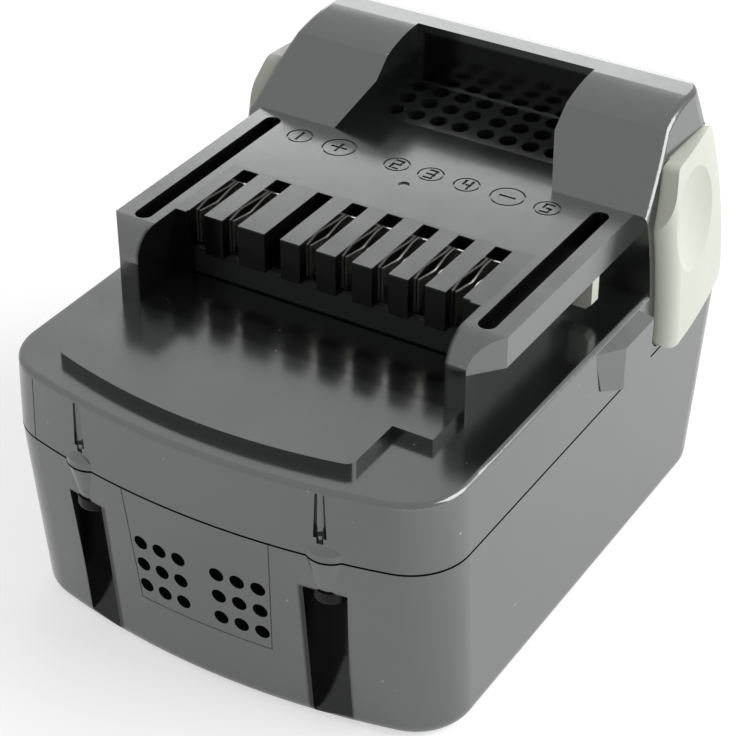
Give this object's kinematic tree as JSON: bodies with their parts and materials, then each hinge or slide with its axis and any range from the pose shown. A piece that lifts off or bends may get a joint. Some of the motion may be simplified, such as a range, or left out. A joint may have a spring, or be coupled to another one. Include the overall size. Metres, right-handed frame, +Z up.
{
  "type": "power tool battery pack",
  "caption": "Slide-on battery pack for a cordless power tool, with rails, a slotted contact block, a rear tower with an air grille, and two pale side latches.",
  "frame": {"origin": "middle of the footprint at the bottom face", "axes": "+Z up, -Y towards the end that slides into the tool first, +X to the right when looking at that end's far side"},
  "size_m": [0.08, 0.1028, 0.068],
  "materials": {
    "case_plastic": "satin moulded",
    "latch_plastic": "satin moulded",
    "frame_plastic": "moulded",
    "terminal_plastic": "moulded",
    "cell_sleeve": "shrink sleeve",
    "nickel": "plain",
    "contact_metal": "plated",
    "spring_steel": "drawn wire",
    "screw_steel": "zinc plated",
    "fibre_paper": "matt",
    "foam": "open cell",
    "board": "coated laminate",
    "chip_plastic": "moulded",
    "component_metal": "plain",
    "probe_resin": "dipped"
  },
  "bodies": {
    "pack": {"board_screws": "screw_steel", "capacitor": "component_metal", "case_screws": "screw_steel", "cell_1": "cell_sleeve", "cell_2": "cell_sleeve", "cell_3": "cell_sleeve", "cell_4": "cell_sleeve", "cell_5": "cell_sleeve", "cell_6": "cell_sleeve", "cell_7": "cell_sleeve", "cell_8": "cell_sleeve", "cell_frame_left": "frame_plastic", "cell_frame_right": "frame_plastic", "circuit_board": "board", "contact_1": "contact_metal", "contact_2": "contact_metal", "contact_3": "contact_metal", "contact_4": "contact_metal", "contact_5": "contact_metal", "contact_6": "contact_metal", "contact_7": "contact_metal", "control_chip": "chip_plastic", "foam_pad": "foam", "insulator_sheet_left": "fibre_paper", "insulator_sheet_right": "fibre_paper", "latch_spring_left": "spring_steel", "latch_spring_right": "spring_steel", "lower_case": "case_plastic", "power_switch_left": "chip_plastic", "power_switch_right": "chip_plastic", "shunt": "component_metal", "strip_left_middle": "nickel", "strip_left_negative": "nickel", "strip_left_positive": "nickel", "strip_right_front": "nickel", "strip_right_rear": "nickel", "temperature_probe": "probe_resin", "terminal_block": "terminal_plastic", "upper_housing": "case_plastic"},
    "left_latch": {"latch_left": "latch_plastic"},
    "right_latch": {"latch_right": "latch_plastic"}
  },
  "joints": [
    {"name": "right_latch_press", "type": "slide", "parent": "pack", "child": "right_latch", "axis": [-1, 0, 0], "range_m": [0, 0.0032], "stiffness_N_per_m": 1500, "springref_m": -0.002, "deforming": ["latch_spring_right"]},
    {"name": "left_latch_press", "type": "slide", "parent": "pack", "child": "left_latch", "axis": [1, 0, 0], "range_m": [0, 0.0032], "stiffness_N_per_m": 1500, "springref_m": -0.002, "deforming": ["latch_spring_left"]}
  ]
}
